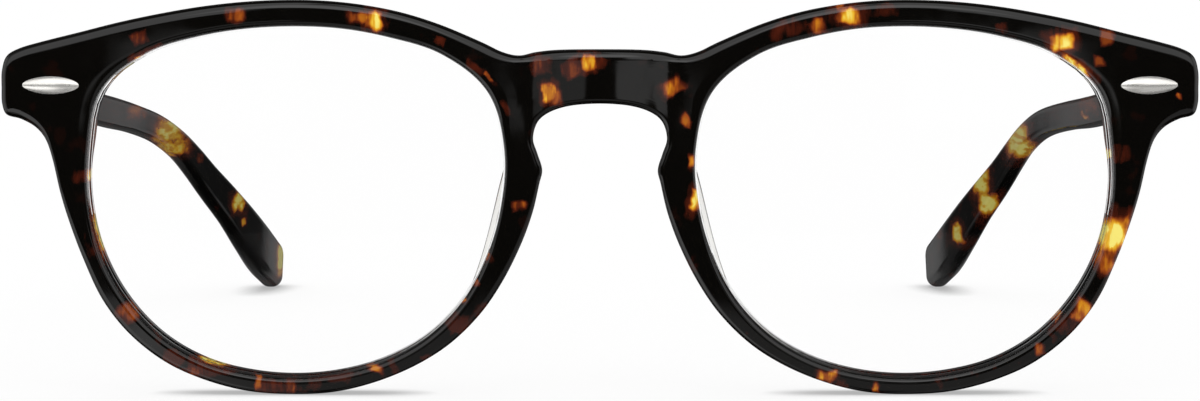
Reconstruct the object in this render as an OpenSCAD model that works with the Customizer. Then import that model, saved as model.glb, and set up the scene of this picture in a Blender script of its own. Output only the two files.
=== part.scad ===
// Full-rim acetate spectacles with a keyhole bridge, open and at rest on a table.
// They face -Y with +Z up and the table at Z = 0. The left side is at -X.
// The front is drawn upright in its own frame, and all parts then lean by rest_lean.

/* [Front] */
// Lean of the whole front towards the viewer, in degrees
rest_lean = 2.5; // [1.5:0.5:3]
// Thickness of the rims, front to back
rim_t = 4.0; // [3.6:0.1:4.4]
// Radius of the sphere that each lens and its rim follow
base_r = 265; // [220:5:400]
// Slope of each eye towards the temple, as a fraction
wrap = 0.015; // [0:0.005:0.03]
// Radius of the edges between the faces and the walls
edge_r = 0.6; // [0.4:0.05:0.7]
// Radius of the bridge face, seen from above
bridge_r = 38; // [34:1:60]
// Depth of the flat back of the end pieces, where the temples butt
butt_y = 6.6; // [6.4:0.1:6.9]

/* [Lenses] */
// Thickness of a lens
lens_t = 1.8; // [1.6:0.1:2]
// Depth of the lens groove in the rim
groove_d = 0.6; // [0.5:0.05:0.7]
// Depth of the middle of the groove behind the face
groove_at = 1.9; // [1.8:0.05:2.1]

/* [Nose pads] */
// How far the pads stand out behind the rims
pad_h = 4.0; // [3.4:0.1:4.6]
// How far the pads lean towards the lenses as they stand out
pad_splay = 1.25; // [1:0.05:1.8]

/* [Hinges] */
// Distance of each hinge axis from the middle
hinge_x = 63.5; // [63.4:0.05:63.6]
// Distance of each hinge axis behind the back of the end pieces
hinge_back = 1.6; // [1.55:0.05:1.7]
// Height of the middle of the hinges
hinge_z = 36.0; // [35.6:0.1:36.4]
// Diameter of the hinge barrels
barrel_d = 2.8; // [2.6:0.05:2.85]
// Height of one knuckle with its gap
knuckle_pitch = 1.2; // [1.1:0.05:1.25]
// Gap between two knuckles
knuckle_gap = 0.04; // [0.03:0.01:0.08]
// Diameter of the hinge screw
screw_d = 1.36; // [1.2:0.02:1.4]
// Radial clearance of pins and screws in their bores
fit_gap = 0.04; // [0.03:0.01:0.06]
// Thickness of the hinge leaves
leaf_t = 0.9; // [0.8:0.05:0.95]

/* [Plaques] */
// Length of the spindle that the plaque's dome belongs to, from point to point
plaque_l = 9.5; // [9:0.1:10]
// Greatest radius of the plaque's spindle
plaque_r = 1.2; // [1:0.05:1.3]
// Depth of the spindle's axis behind the face
plaque_sink = 0.6; // [0.5:0.05:0.7]

/* [Temples] */
// How much higher the right temple runs before the ear than the left one
right_lift = 0.7; // [0:0.1:0.8]
// How much further out the right temple's ear piece stands than the left one
right_out = 1.3; // [0:0.1:1.5]
// Width of the core wire
wire_w = 1.1; // [0.8:0.1:1.1]
// Height of the core wire
wire_h = 1.3; // [1:0.1:1.4]
// Diameter of the temple rivets
rivet_d = 1.0; // [0.8:0.1:1.1]

/* [Hidden] */

// The middle of a lens in the front's own frame
lens_x = 35.2;
lens_z = 22.4;
// Moves the middle of the bounding box to the origin, and its lowest point to the table
rest_y = -69.08;
rest_z = -0.1135;
// Radius of the aperture around the middle of the lens, every 15 degrees from the nose upwards
aperture = [23.85, 25.0, 25.75, 24.3, 22.2, 21.0, 20.55, 21.0, 22.35, 24.5, 26.0, 24.9,
            24.1, 23.5, 22.9, 22.3, 21.55, 20.8, 20.5, 20.65, 21.2, 21.9, 22.5, 23.05];
aperture_step = 15;
// Outline of the right half of the front, clockwise from the top of the bridge.
// Each row is X, Z and the angle of the point of the aperture across the rim from it.
outline = [[0, 40.2, 33], [4.6, 40.15, 36], [7.2, 39.9, 38.5], [9.2, 39.5, 41.5],
           [11.2, 39.95, 45], [13.8, 41.2, 49], [18.4, 43.15, 57], [23.0, 44.6, 66],
           [27.7, 45.5, 75], [32.3, 45.95, 84], [36.9, 46.0, 94], [41.5, 45.75, 104],
           [46.2, 45.2, 114], [50.8, 44.4, 123], [55.5, 43.4, 131], [60.2, 42.2, 138],
           [64.9, 41.0, 143], [67.5, 40.2, 146], [68.9, 39.3, 148.5], [69.45, 37.6, 151],
           [69.5, 35.6, 153.5], [69.45, 33.8, 156], [68.9, 32.5, 158.5], [67.2, 32.0, 161],
           [65.4, 31.05, 163.5], [64.2, 29.6, 166], [63.4, 27.2, 170], [62.6, 23.6, 177],
           [61.6, 20.2, 184], [60.0, 15.8, 193], [57.8, 11.0, 204], [54.7, 7.0, 215],
           [50.6, 3.75, 227], [46.0, 1.65, 239], [41.0, 0.35, 252], [36.0, 0, 266],
           [31.0, 0.25, 280], [26.2, 1.4, 294], [21.5, 3.35, 306], [17.4, 5.95, 317],
           [13.9, 9.4, 328], [11.3, 13.2, 338], [9.2, 17.4, 348], [7.8, 21.2, 357],
           [7.0, 24.6, 364], [6.65, 26.3, 368], [7.2, 28.2, 371.5], [7.7, 29.9, 374.5],
           [7.2, 31.8, 378], [5.8, 33.0, 381.5], [3.4, 33.75, 385], [0, 34.0, 388]];
// Rows of the middle of the bridge between its underside and its top
bridge_rows = 2;
// Points between two rows of the outline
fine = 2;

// Where the bridge face meets the rims, and how softly
bridge_set = 0.075;
bridge_soft = 0.3;
bridge_low = 28;
bridge_high = 33;
// Rounds the back of the bridge across the middle
middle_soft = 8;

function lerp(a, b, t) = a + (b - a) * t;
function ease(a, b, x) = let (t = min(1, max(0, (x - a) / (b - a)))) t * t * (3 - 2 * t);
function unit(v) = v / norm(v);
// A smooth curve through b and c, with a and d as their neighbours
function curve(a, b, c, d, t) =
    b + 0.5 * t * (c - a + t * (2 * a - 5 * b + 4 * c - d + t * (3 * (b - c) + d - a)));
function wrapped(i, n) = (i + n) % n;

// Radius and point of the aperture at an angle
function aperture_r(a) =
    let (n = len(aperture), s = a / aperture_step, i = floor(s))
    curve(aperture[wrapped(i - 1, n)], aperture[wrapped(i, n)],
          aperture[wrapped(i + 1, n)], aperture[wrapped(i + 2, n)], s - i);
function aperture_point(a) = [lens_x - aperture_r(a) * cos(a), lens_z + aperture_r(a) * sin(a)];
// Direction from the edge of the aperture into the rim
function aperture_out(a) =
    let (d = aperture_point(a + 1) - aperture_point(a - 1)) unit([-d[1], d[0]]);

// Reference surface of the front: a sphere behind each eye, joined across the middle
function across(x) = sqrt(x * x + middle_soft * middle_soft) -
                     sqrt(lens_x * lens_x + middle_soft * middle_soft);
function eye_depth(x) = wrap * across(x) + across(x) * across(x) / (2 * base_r);
function depth(x, z) = eye_depth(x) + (z - lens_z) * (z - lens_z) / (2 * base_r);
function slope_x(x) = (wrap + across(x) / base_r) * x / sqrt(x * x + middle_soft * middle_soft);
function backward(x, z) = unit([-slope_x(x), 1, -(z - lens_z) / base_r]);
// A point at a distance behind the reference surface
function place(p, back) = [p[0], depth(p[0], p[1]), p[1]] + back * backward(p[0], p[1]);
// The bridge face stands in front of the reference surface
function above_zero(v, k) = v < -k ? 0 : v > k ? v : (v + k) * (v + k) / (4 * k);
function face_at(p) =
    -above_zero(eye_depth(p[0]) - bridge_set - p[0] * p[0] / (2 * bridge_r), bridge_soft) *
    ease(bridge_low, bridge_high, p[1]);
// The back is parallel to the face, and flat behind the end pieces
function back_at(p) =
    let (flat = (butt_y - depth(p[0], p[1])) / backward(p[0], p[1])[1],
         share = ease(53, 59, abs(p[0])) * ease(25, 31, p[1]))
    lerp(rim_t, flat, share);

// Stations along the right half: outer point, inward direction, aperture angle, in the middle
rows_n = len(outline);
function outline_row(i) = i < 0 ? [-outline[1][0], outline[1][1], 2 * outline[0][2] - outline[1][2]]
    : i >= rows_n ? let (p = outline[rows_n - 2], e = outline[rows_n - 1])
                    [-p[0], p[1], 2 * e[2] - p[2]]
    : outline[i];
function outline_at(s) =
    let (i = min(floor(s), rows_n - 2), t = s - i)
    curve(outline_row(i - 1), outline_row(i), outline_row(i + 1), outline_row(i + 2), t);
outer_n = (rows_n - 1) * fine + 1;
outer = [for (k = [0 : outer_n - 1]) outline_at(k / fine)];
function outer_in(k) =
    k == 0 ? [0, -1] : k == outer_n - 1 ? [0, 1] :
    let (d = outer[k + 1] - outer[k - 1]) unit([d[1], -d[0]]);
stations = concat(
    [for (k = [0 : outer_n - 1]) [[outer[k][0], outer[k][1]], outer_in(k), outer[k][2], false]],
    [for (k = [1 : bridge_rows])
        let (t = k / (bridge_rows + 1), low = outline[rows_n - 1], top = outline[0])
        [[0, lerp(low[1] + edge_r, top[1] - edge_r, t)], [0, 0],
         lerp(low[2], top[2] + 360, t), true]]);
station_n = len(stations);

// Cross-section of the rim at a station, from the front edge of the aperture outwards
round_in = edge_r * (1 - cos(45));
groove_half = 0.65;
function section(s) =
    let (o = s[0], oi = s[1], a = s[2], i = aperture_point(a), io = aperture_out(a),
         i_face = i + edge_r * io, o_face = o + edge_r * oi,
         face_1 = lerp(i_face, o_face, 1 / 3), face_2 = lerp(i_face, o_face, 2 / 3),
         i_mid = i + round_in * io, o_mid = o + round_in * oi)
    [place(i_face, face_at(i_face)), place(face_1, face_at(face_1)),
     place(face_2, face_at(face_2)), place(o_face, face_at(o_face)),
     place(o_mid, face_at(o) + round_in), place(o, face_at(o) + edge_r),
     place(o, back_at(o) - edge_r), place(o_mid, back_at(o) - round_in),
     place(o_face, back_at(o_face)), place(face_2, back_at(face_2)),
     place(i_face, back_at(i_face)), place(i_mid, back_at(i) - round_in),
     place(i, back_at(i) - edge_r), place(i, groove_at + groove_half),
     place(i + groove_d * io, groove_at), place(i, groove_at - groove_half),
     place(i, edge_r), place(i_mid, round_in)];
section_n = 18;
// Columns of the outer edge, which the middle stations don't have
edge_first = 3;
edge_last = 8;

half_points = [for (s = stations) each section(s)];
half_n = len(half_points);
function on_middle(i) = abs(half_points[i][0]) < 0.001;
function twin(i) = on_middle(i) ? i : i + half_n;
half_faces = [
    for (k = [0 : station_n - 1], c = [0 : section_n - 1])
        let (k2 = (k + 1) % station_n, c2 = (c + 1) % section_n,
             middle = stations[k][3] || stations[k2][3],
             a = k * section_n + c, b = k * section_n + c2,
             d = k2 * section_n + c, e = k2 * section_n + c2)
        if (!(middle && c >= edge_first && c < edge_last)) each [[a, b, e], [a, e, d]]];
twin_faces = [for (f = half_faces) [twin(f[2]), twin(f[1]), twin(f[0])]];
front_points = concat([for (p = half_points) abs(p[0]) < 0.001 ? [0, p[1], p[2]] : p],
                      [for (p = half_points) [-p[0], p[1], p[2]]]);

// Lenses: rings from the middle of the front surface to the middle of the back
lens_steps = 48;
lens_play = 0.1;
lens_front = groove_at - lens_t / 2;
lens_rings = [[0.5, 0, lens_front], [1, -lens_play, lens_front],
              [1, -lens_play, groove_at - 0.6], [1, groove_d - lens_play, groove_at],
              [1, -lens_play, groove_at + 0.6], [1, -lens_play, lens_front + lens_t],
              [0.5, 0, lens_front + lens_t]];
lens_centre = [lens_x, lens_z];
lens_points = concat(
    [for (r = lens_rings, k = [0 : lens_steps - 1])
        let (a = k * 360 / lens_steps, edge = aperture_point(a) + r[1] * aperture_out(a))
        place(lerp(lens_centre, edge, r[0]), r[2])],
    [place(lens_centre, lens_front), place(lens_centre, lens_front + lens_t)]);
ring_n = len(lens_rings);
lens_faces = concat(
    [for (r = [0 : ring_n - 2], k = [0 : lens_steps - 1])
        let (k2 = (k + 1) % lens_steps, a = r * lens_steps + k, b = r * lens_steps + k2)
        each [[a, b + lens_steps, b], [a, a + lens_steps, b + lens_steps]]],
    [for (k = [0 : lens_steps - 1])
        let (k2 = (k + 1) % lens_steps, last = (ring_n - 1) * lens_steps)
        each [[ring_n * lens_steps, k, k2],
              [ring_n * lens_steps + 1, last + k2, last + k]]]);

// Nose pads: a fin along the nasal rim, from its upper to its lower end
pad_from = 381;
pad_to = 314.5;
pad_steps = 16;
pad_gap = 0.03;
pad_nose = 1.0;
pad_lens = 1.15;
// How much nearer its upper end a pad is widest, and how thinly its ends run out
pad_crowd = 0.72;
pad_taper = 1.4;
function row_for(a) = lookup(a, [for (k = [0 : outer_n - 1]) [outer[k][2], k / fine]]);
// Points round the pad: shares of the way to the nose side, of the lean and of the height
pad_profile = [[0, 0, 0], [0.5, 0, 0], [1, 0, 0], [1, 0.1, 0.3], [1, 0.55, 0.72], [0.65, 1.05, 0.95],
               [0.4, 1.5, 1], [0.15, 1.5, 0.9], [0, 0.9, 0.6], [0, 0.35, 0.25]];
pad_nose_share = 0.86;
function pad_section(t) =
    let (a = lerp(pad_from, pad_to, t), i = aperture_point(a), io = aperture_out(a),
         row = outline_at(row_for(a)),
         swell = pow(sin(180 * lerp(0.03, 0.97, pow(t, pad_crowd))), pad_taper),
         lens_side = i + pad_lens * io,
         nose_side = lerp(i + pad_nose * io, [row[0], row[1]], pad_nose_share))
    [for (p = pad_profile)
        place(lerp(lens_side, nose_side, p[0]) - p[1] * pad_splay * swell * io,
              rim_t + pad_gap + p[2] * pad_h * swell)];

// Left temple: rows of Y, inner face X, middle Z, height and thickness
butt_gap = 0.05;
temple_rows = [[butt_y + butt_gap, 65.0, 35.8, 7.2, 3.9], [11, 65.0, 35.6, 7.1, 3.9],
               [18, 64.6, 34.6, 6.1, 3.6], [26, 63.8, 33.0, 4.9, 3.3],
               [34, 63.0, 31.2, 4.2, 3.0], [44, 62.0, 29.4, 3.9, 2.9],
               [55, 61.0, 27.7, 3.9, 2.8], [67, 59.8, 25.8, 3.7, 2.7],
               [80, 58.1, 23.2, 3.7, 2.6], [90, 56.4, 20.1, 3.9, 2.5],
               [97, 54.9, 16.9, 4.3, 2.5], [103, 53.3, 13.4, 4.8, 2.5],
               [110, 51.2, 9.2, 5.6, 2.5], [118, 49.2, 4.7, 6.7, 2.85],
               [126, 47.8, 1.0, 7.2, 3.2], [136, 46.8, -2.47, 6.7, 3.2]];
temple_n = len(temple_rows);
temple_fine = 3;
tip_steps = 5;
butt_straight = 19;
function temple_row(i) = i < 0 ? 2 * temple_rows[0] - temple_rows[1]
    : i >= temple_n ? 2 * temple_rows[temple_n - 1] - temple_rows[temple_n - 2]
    : temple_rows[i];
// What the right temple has on top of the rows
function right_bend(y) =
    [0, right_out * ease(80, 110, y), right_lift * (ease(50, 85, y) - ease(102, 128, y)), 0, 0];
function temple_at(s, side) =
    let (i = min(floor(s), temple_n - 2),
         r = curve(temple_row(i - 1), temple_row(i), temple_row(i + 1), temple_row(i + 2), s - i))
    side < 0 ? r : r + right_bend(r[0]);
function temple_middle(s, side) = let (r = temple_at(s, side)) [r[1] + r[4] / 2, r[0], r[2]];
// Forward direction, straight back at the butt, and the side and upward directions
function temple_dir(s, side) =
    let (d = unit(temple_middle(min(s + 0.05, temple_n - 1), side)
                  - temple_middle(max(s - 0.05, 0), side)))
    unit(lerp([0, 1, 0], d, ease(temple_rows[0][0], butt_straight, temple_at(s, side)[0])));
// A point at distances ahead, inwards and upwards of the middle
function temple_point(s, side, ahead, inward, above) =
    let (d = temple_dir(s, side), across = unit(cross([0, 0, 1], d)), up = cross(d, across))
    temple_middle(s, side) + ahead * d + inward * across + above * up;
// A rounded rectangle of half-sizes a and b with corner radius r, three points a corner
function rounded(a, b, r) =
    [for (q = [0 : 3], k = [0 : 2])
        let (w = q * 90 + k * 45, cx = (a - r) * (q == 0 || q == 3 ? 1 : -1),
             cy = (b - r) * (q < 2 ? 1 : -1))
        [cx + r * cos(w), cy + r * sin(w)]];
// Radius of the corners before the ear, and what share of the half thickness it is at the tip
corner_r = 0.95;
tip_share = 0.85;
ear_from = 8;
ear_to = 14;
tip_blunt = 0.35;
function corner_at(s, a) = lerp(corner_r, tip_share * a, ease(ear_from, ear_to, s));
function ring(s, side, ahead, a, b, r) =
    [for (p = rounded(a, b, r)) temple_point(s, side, ahead, p[0], p[1])];
function temple_rings(side) = concat(
    [for (k = [0 : (temple_n - 1) * temple_fine])
        let (s = k / temple_fine, r = temple_at(s, side), a = r[4] / 2)
        ring(s, side, 0, a, r[3] / 2, corner_at(s, a))],
    [for (k = [1 : tip_steps])
        let (w = 90 * k / (tip_steps + 0.35), s = temple_n - 1, r = temple_at(s, side),
             b = r[3] / 2, wide = r[4] / 2 * pow(cos(w), tip_blunt), high = b * cos(w))
        ring(s, side, b * sin(w), wide, high, tip_share * min(wide, high))]);
// The channel runs from the butt to the ear, counted in rows, and the wire fills it with some play
wire_mouth = -0.02;
wire_start = 0.03;
wire_end = 13.2;
wire_short = 0.1;
wire_steps = 26;
wire_play = 0.05;
function wire_rings(side, grow, first, last) =
    [for (k = [0 : wire_steps])
        let (s = lerp(first, last, k / wire_steps), a = wire_w / 2 + grow, b = wire_h / 2 + grow)
        [for (p = [[a, b], [-a, b], [-a, -b], [a, -b]]) temple_point(s, side, 0, p[0], p[1])]];

function tube_faces(n, m) = concat(
    [for (k = [0 : n - 2], c = [0 : m - 1])
        let (a = k * m + c, b = k * m + (c + 1) % m)
        each [[a, b + m, b], [a, a + m, b + m]]],
    [[for (c = [0 : m - 1]) c], [for (c = [m - 1 : -1 : 0]) (n - 1) * m + c]]);
module tube(rings) {
    polyhedron([for (r = rings) each r], tube_faces(len(rings), len(rings[0])));
}

axis_y = butt_y + hinge_back;
knuckle_n = 5;
stack_h = knuckle_n * knuckle_pitch;
// Plate of the front leaf: height, inner edge and width
front_leaf_h = stack_h + 0.2;
front_leaf_x = 60.4;
front_leaf_w = 6.2;
// Plate of the temple leaf: front edge, length, bottom and height
temple_leaf_y = 7.7;
temple_leaf_l = 6.5;
temple_leaf_z = 33.2;
temple_leaf_h = 4.6;
temple_face_x = 65.0;
pocket_gap = 0.05;
leaf_lift = 0.02;
web_w = 2;
// Screw: its head and slot
head_r = 1.05;
head_h = 0.55;
head_lift = 0.03;
slot_w = 0.28;
slot_deep = 0.25;
// Plaque: its middle, its lift off the face, and its two pins
plaque_x = 63.4;
plaque_z = 36.0;
plaque_lift = 0.03;
pin_reach = 2.0;
pin_d = 0.9;
pin_into = 0.2;
pin_short = 0.02;
bore_over = 1;
rivet_at = [[10, 34.2], [13, 36.9]];
rivet_l = 3.6;
$fn = 48;

module rest() {
    translate([0, rest_y, rest_z]) rotate([rest_lean, 0, 0]) children();
}
module on_side(side) {
    rest() mirror([side < 0 ? 1 : 0, 0, 0]) children();
}
module along_axis(z0, z1, r) {
    translate([hinge_x, axis_y, z0]) cylinder(h = z1 - z0, r = r);
}
module pins(r, above, y1) {
    for (x = [plaque_x - pin_reach, plaque_x + pin_reach])
        translate([x, y1, plaque_z]) rotate([90, 0, 0])
            cylinder(h = y1 - depth(x, plaque_z) + above, r = r);
}
module rivets(r, x0, x1) {
    for (p = rivet_at) translate([x0, p[0], p[1]]) rotate([0, 90, 0]) cylinder(h = x1 - x0, r = r);
}

module front_half_cuts() {
    translate([front_leaf_x - pocket_gap, butt_y - leaf_t - pocket_gap,
               hinge_z - front_leaf_h / 2 - pocket_gap])
        cube([front_leaf_w + 2 * pocket_gap, leaf_t + 1, front_leaf_h + 2 * pocket_gap]);
    pins(pin_d / 2 + fit_gap, bore_over, butt_y);
}
module front_frame() {
    color("#1c0f08") rest() difference() {
        polyhedron(front_points, concat(half_faces, twin_faces));
        front_half_cuts();
        mirror([1, 0, 0]) front_half_cuts();
    }
}
module lens(side) {
    color([0.9, 0.95, 1, 0.3]) on_side(side) polyhedron(lens_points, lens_faces);
}
module nose_pad(side) {
    color([0.9, 0.9, 0.88, 0.6]) on_side(side)
        tube([for (k = [0 : pad_steps]) pad_section(k / pad_steps)]);
}
module front_plaque(side) {
    half = plaque_l / 2;
    big = (half * half + plaque_r * plaque_r) / (2 * plaque_r);
    color("#c9c6bf") on_side(side) union() {
        difference() {
            translate([plaque_x, depth(plaque_x, plaque_z) + plaque_sink, plaque_z])
                rotate([0, 0, atan(slope_x(plaque_x))])
                rotate([0, 90, 0]) rotate_extrude() intersection() {
                    translate([plaque_r - big, 0]) circle(r = big, $fn = 180);
                    translate([0, -half]) square([plaque_r, plaque_l]);
                }
            translate([plaque_x, depth(plaque_x, plaque_z) - plaque_lift, plaque_z])
                rotate([-atan((plaque_z - lens_z) / base_r), 0, atan(slope_x(plaque_x))])
                translate([-plaque_l, 0, -plaque_l]) cube(2 * plaque_l);
        }
        pins(pin_d / 2, pin_into, butt_y - pin_short);
    }
}
// Every second knuckle, with a web from x0, y0 to x1, y1 that ties it to its leaf
module knuckles(first, x0, y0, x1, y1) {
    for (k = [first : 2 : knuckle_n - 1])
        let (z0 = hinge_z - stack_h / 2 + k * knuckle_pitch + knuckle_gap / 2,
             h = knuckle_pitch - knuckle_gap) {
            along_axis(z0, z0 + h, barrel_d / 2);
            translate([x0, y0, z0]) cube([x1 - x0, y1 - y0, h]);
        }
}
module front_hinge_leaf(side) {
    color("#b9b7b2") on_side(side) difference() {
        union() {
            translate([front_leaf_x, butt_y - leaf_t, hinge_z - front_leaf_h / 2])
                cube([front_leaf_w, leaf_t - leaf_lift, front_leaf_h]);
            knuckles(0, hinge_x - web_w / 2, butt_y - leaf_t / 2, hinge_x + web_w / 2, axis_y);
        }
        along_axis(hinge_z - stack_h, hinge_z + stack_h, screw_d / 2 + fit_gap);
        pins(pin_d / 2 + fit_gap, bore_over, butt_y + bore_over);
    }
}
module temple_hinge_leaf(side) {
    color("#b9b7b2") on_side(side) difference() {
        union() {
            translate([temple_face_x + leaf_lift, temple_leaf_y, temple_leaf_z])
                cube([leaf_t, temple_leaf_l, temple_leaf_h]);
            knuckles(1, hinge_x, axis_y - web_w / 2, temple_face_x + leaf_t / 2, axis_y + web_w / 2);
        }
        along_axis(hinge_z - stack_h, hinge_z + stack_h, screw_d / 2 + fit_gap);
        rivets(rivet_d / 2 + fit_gap, temple_face_x - bore_over, temple_face_x + leaf_t + bore_over);
    }
}
module hinge_screw(side) {
    head_z = hinge_z + stack_h / 2 + head_lift;
    color("#8f8d88") on_side(side) difference() {
        union() {
            along_axis(hinge_z - stack_h / 2 - fit_gap, head_z + head_h / 2, screw_d / 2);
            along_axis(head_z, head_z + head_h, head_r);
        }
        translate([hinge_x - 2 * head_r, axis_y - slot_w / 2, head_z + head_h - slot_deep])
            cube([4 * head_r, slot_w, head_h]);
    }
}
module temple(side) {
    color("#1c0f08") on_side(side) difference() {
        tube(temple_rings(side));
        tube(wire_rings(side, wire_play, wire_mouth, wire_end));
        translate([temple_face_x - bore_over, 0, temple_leaf_z - pocket_gap])
            cube([bore_over + leaf_t + leaf_lift + pocket_gap,
                  temple_leaf_y + temple_leaf_l + pocket_gap, temple_leaf_h + 2 * pocket_gap]);
        rivets(rivet_d / 2 + fit_gap, temple_face_x, temple_face_x + 2 * rivet_l);
    }
}
module core_wire(side) {
    color("#a8a5a0") on_side(side) tube(wire_rings(side, 0, wire_start, wire_end - wire_short));
}
module temple_rivets(side) {
    color("#b9b7b2") on_side(side) 
        rivets(rivet_d / 2, temple_face_x + pocket_gap, temple_face_x + rivet_l);
}

front_frame();
lens(-1);  // left_lens
lens(1);  // right_lens
nose_pad(-1);  // left_nose_pad
nose_pad(1);  // right_nose_pad
front_plaque(-1);  // left_front_plaque
front_plaque(1);  // right_front_plaque
front_hinge_leaf(-1);  // left_front_hinge_leaf
front_hinge_leaf(1);  // right_front_hinge_leaf
hinge_screw(-1);  // left_hinge_screw
hinge_screw(1);  // right_hinge_screw
temple_hinge_leaf(-1);  // left_temple_hinge_leaf
temple_hinge_leaf(1);  // right_temple_hinge_leaf
temple(-1);  // left_temple
temple(1);  // right_temple
core_wire(-1);  // left_core_wire
core_wire(1);  // right_core_wire
temple_rivets(-1);  // left_temple_rivets
temple_rivets(1);  // right_temple_rivets
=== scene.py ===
import math

import bmesh
import bpy
from bpy.props import FloatProperty, FloatVectorProperty, IntProperty, PointerProperty
from mathutils import Matrix, Vector


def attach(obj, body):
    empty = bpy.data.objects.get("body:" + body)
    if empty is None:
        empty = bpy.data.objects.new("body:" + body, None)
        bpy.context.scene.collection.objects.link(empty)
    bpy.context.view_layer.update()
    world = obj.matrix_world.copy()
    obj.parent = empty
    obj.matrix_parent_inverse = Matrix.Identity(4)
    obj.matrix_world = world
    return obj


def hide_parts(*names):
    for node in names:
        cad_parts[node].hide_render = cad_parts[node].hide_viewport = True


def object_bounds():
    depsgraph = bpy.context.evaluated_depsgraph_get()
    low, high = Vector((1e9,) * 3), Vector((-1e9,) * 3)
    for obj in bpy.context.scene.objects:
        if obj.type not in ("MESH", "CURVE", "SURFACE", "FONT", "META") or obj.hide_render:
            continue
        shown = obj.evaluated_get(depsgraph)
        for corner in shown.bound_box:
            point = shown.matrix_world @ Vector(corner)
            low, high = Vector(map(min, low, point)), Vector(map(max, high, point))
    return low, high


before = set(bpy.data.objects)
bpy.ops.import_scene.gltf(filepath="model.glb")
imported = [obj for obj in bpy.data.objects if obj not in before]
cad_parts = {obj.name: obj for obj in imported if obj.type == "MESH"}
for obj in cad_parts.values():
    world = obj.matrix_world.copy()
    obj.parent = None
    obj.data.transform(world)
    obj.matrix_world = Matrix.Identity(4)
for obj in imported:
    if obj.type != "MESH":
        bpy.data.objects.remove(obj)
CAD_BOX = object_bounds()

bl_info = {
    "name": "Tortoiseshell Spectacles",
    "version": (1, 0, 0),
    "blender": (4, 5, 0),
    "location": "3D View > Sidebar > Spectacles",
    "description": "Dresses full-rim acetate spectacles with a keyhole bridge",
    "category": "Object",
}

MM = 0.001
SIDES = {"left": -1, "right": 1}
# Angle in degrees over which an edge stays sharp, on most pieces and on the nose pads
CREASE = 35
PAD_CREASE = 50

# The front leans by REST_LEAN degrees about X, and then moves to where it stands
REST_LEAN = 2.5
REST_Y = -69.08
REST_Z = -0.1135

# The front, in millimetres in its own upright frame
RIM_T = 4.0
BASE_R = 265
WRAP = 0.015
BRIDGE_R = 38
BUTT_Y = 6.6
LENS_X = 35.2
LENS_Z = 22.4
# Radius of the aperture round the middle of the lens, every 15 degrees from the nose upwards
APERTURE = [23.85, 25.0, 25.75, 24.3, 22.2, 21.0, 20.55, 21.0, 22.35, 24.5, 26.0, 24.9,
            24.1, 23.5, 22.9, 22.3, 21.55, 20.8, 20.5, 20.65, 21.2, 21.9, 22.5, 23.05]
APERTURE_STEP = 15
# Outline of the right half, clockwise from the top of the bridge: X, Z and aperture angle
OUTLINE = [(0, 40.2, 33), (4.6, 40.15, 36), (7.2, 39.9, 38.5), (9.2, 39.5, 41.5),
           (11.2, 39.95, 45), (13.8, 41.2, 49), (18.4, 43.15, 57), (23.0, 44.6, 66),
           (27.7, 45.5, 75), (32.3, 45.95, 84), (36.9, 46.0, 94), (41.5, 45.75, 104),
           (46.2, 45.2, 114), (50.8, 44.4, 123), (55.5, 43.4, 131), (60.2, 42.2, 138),
           (64.9, 41.0, 143), (67.5, 40.2, 146), (68.9, 39.3, 148.5), (69.45, 37.6, 151),
           (69.5, 35.6, 153.5), (69.45, 33.8, 156), (68.9, 32.5, 158.5), (67.2, 32.0, 161),
           (65.4, 31.05, 163.5), (64.2, 29.6, 166), (63.4, 27.2, 170), (62.6, 23.6, 177),
           (61.6, 20.2, 184), (60.0, 15.8, 193), (57.8, 11.0, 204), (54.7, 7.0, 215),
           (50.6, 3.75, 227), (46.0, 1.65, 239), (41.0, 0.35, 252), (36.0, 0, 266),
           (31.0, 0.25, 280), (26.2, 1.4, 294), (21.5, 3.35, 306), (17.4, 5.95, 317),
           (13.9, 9.4, 328), (11.3, 13.2, 338), (9.2, 17.4, 348), (7.8, 21.2, 357),
           (7.0, 24.6, 364), (6.65, 26.3, 368), (7.2, 28.2, 371.5), (7.7, 29.9, 374.5),
           (7.2, 31.8, 378), (5.8, 33.0, 381.5), (3.4, 33.75, 385), (0, 34.0, 388)]
OUTLINE = [Vector(row) for row in OUTLINE]
BRIDGE_SET = 0.075
BRIDGE_SOFT = 0.3
BRIDGE_LOW = 28
BRIDGE_HIGH = 33
MIDDLE_SOFT = 8
NEAR_MIDDLE = 0.001
# The back turns flat behind the end pieces between these X and Z
END_X = (53, 59)
END_Z = (25, 31)
# The outer edge widens towards the top between these Z, and towards the ends between these X
BROW_Z = (36, 41)
BROW_X = (63, 67)
GROOVE_D = 0.6
GROOVE_AT = 1.9
GROOVE_HALF = 0.65

# Lenses and nose pads
LENS_PLAY = 0.1
LENS_STEPS = 96
LENS_RINGS = 8
BEVEL_HALF = 0.6
PAD_FROM = 381
PAD_TO = 314.5
PAD_GAP = 0.03
PAD_NOSE = 1.0
PAD_LENS = 1.15
# How much nearer its upper end a pad is widest, how thinly its ends run out, and where they stop
PAD_CROWD = 0.72
PAD_TAPER = 1.4
PAD_ENDS = (0.03, 0.97)
# How far a pad reaches from the aperture to the outline on the nose side
PAD_NOSE_SHARE = 0.86
PAD_STEPS = 48
PAD_SMOOTH = 5
PAD_OUTLINE_STEPS = 8
# Points round the pad: shares of the way to the nose side, of the lean and of the height
PAD_PROFILE = [(0, 0, 0), (1, 0, 0), (1, 0.1, 0.3), (1, 0.55, 0.72), (0.65, 1.05, 0.95),
               (0.4, 1.5, 1), (0.15, 1.5, 0.9), (0, 0.9, 0.6), (0, 0.35, 0.25)]

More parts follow.
